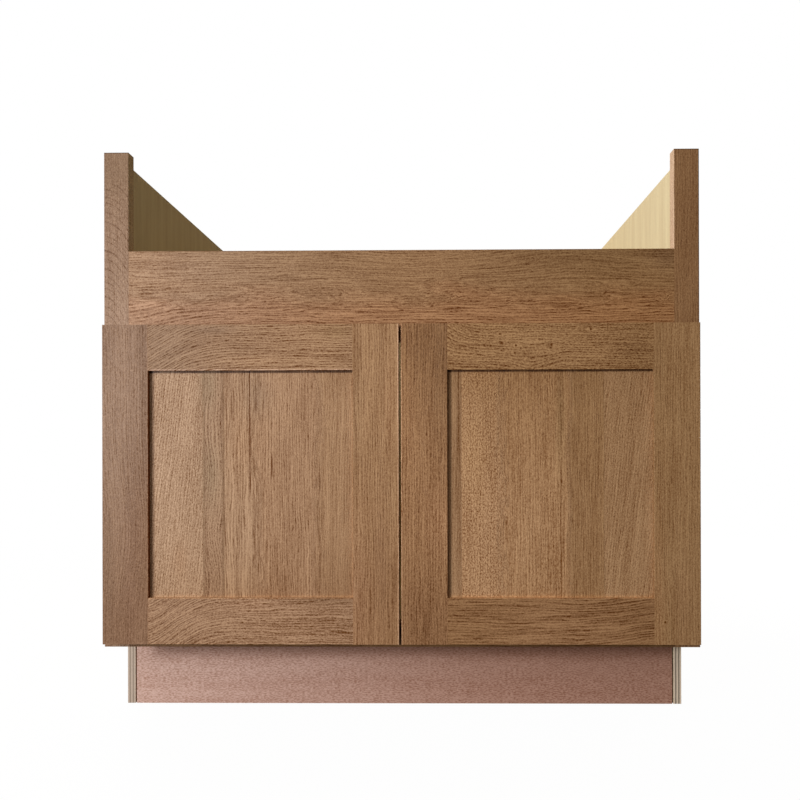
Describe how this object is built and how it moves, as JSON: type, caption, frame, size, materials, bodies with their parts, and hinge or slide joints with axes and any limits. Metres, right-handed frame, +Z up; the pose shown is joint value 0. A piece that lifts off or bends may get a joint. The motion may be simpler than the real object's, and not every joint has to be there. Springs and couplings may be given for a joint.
{
  "type": "sink base cabinet",
  "caption": "Base cabinet for an apron-front sink: wood face frame with a lowered apron rail, open top, two hinged shaker doors and a recessed toe kick.",
  "frame": {"origin": "centre of the footprint, closed doors included, on the floor", "axes": "+X to the right as seen from the front, +Y from the doors to the wall, +Z up"},
  "size_m": [0.9144, 0.6312, 0.8763],
  "materials": {
    "oak_frame": "clear matt lacquer on flat-sawn oak",
    "oak_panel": "clear matt lacquer on edge-joined oak boards",
    "birch_plywood": "sanded plywood, clear coated",
    "red_plywood": "bare sanded reddish plywood",
    "thin_plywood": "sanded plywood, clear coated",
    "softwood": "planed, bare",
    "beech_dowel": "fluted and glued",
    "nickel_steel": "nickel plated, satin",
    "zinc_steel": "zinc plated",
    "spacer_rubber": "soft, matt",
    "bumper_plastic": "soft, translucent white"
  },
  "bodies": {
    "cabinet": {"floor_panel": "birch_plywood", "back_panel": "thin_plywood", "hanging_rail": "softwood", "rear_base_rail": "softwood", "toe_kick_board": "red_plywood", "apron_rail": "oak_frame", "frame_bottom_rail": "oak_frame", "face_frame_dowels": "beech_dowel", "back_panel_brads": "zinc_steel", "side_panel_left": "birch_plywood", "side_panel_right": "birch_plywood", "frame_stile_left": "oak_frame", "frame_stile_right": "oak_frame", "toe_kick_block_left": "softwood", "toe_kick_block_right": "softwood", "hinge_arm_screws_left": "zinc_steel", "hinge_arm_screws_right": "zinc_steel", "hinge_arm_upper_left": "nickel_steel", "hinge_arm_upper_right": "nickel_steel", "hinge_arm_lower_left": "nickel_steel", "hinge_arm_lower_right": "nickel_steel"},
    "left_door": {"left_door_hinge_stile": "oak_frame", "left_door_meeting_stile": "oak_frame", "left_door_top_rail": "oak_frame", "left_door_bottom_rail": "oak_frame", "left_door_panel": "oak_panel", "left_door_panel_spacers": "spacer_rubber", "left_door_bumpers": "bumper_plastic", "left_door_cup_screws": "zinc_steel", "left_door_hinge_cup_upper": "nickel_steel", "left_door_hinge_pin_upper": "zinc_steel", "left_door_hinge_cup_lower": "nickel_steel", "left_door_hinge_pin_lower": "zinc_steel"},
    "right_door": {"right_door_hinge_stile": "oak_frame", "right_door_meeting_stile": "oak_frame", "right_door_top_rail": "oak_frame", "right_door_bottom_rail": "oak_frame", "right_door_panel": "oak_panel", "right_door_panel_spacers": "spacer_rubber", "right_door_bumpers": "bumper_plastic", "right_door_cup_screws": "zinc_steel", "right_door_hinge_cup_upper": "nickel_steel", "right_door_hinge_pin_upper": "zinc_steel", "right_door_hinge_cup_lower": "nickel_steel", "right_door_hinge_pin_lower": "zinc_steel"}
  },
  "joints": [
    {"name": "left_door_hinge", "type": "hinge", "parent": "cabinet", "child": "left_door", "pos_m": [-0.44365, -0.30673, 0.36551], "axis": [0, 0, -1], "range_deg": [0, 105]},
    {"name": "right_door_hinge", "type": "hinge", "parent": "cabinet", "child": "right_door", "pos_m": [0.44365, -0.30673, 0.36551], "axis": [0, 0, 1], "range_deg": [0, 105]}
  ]
}
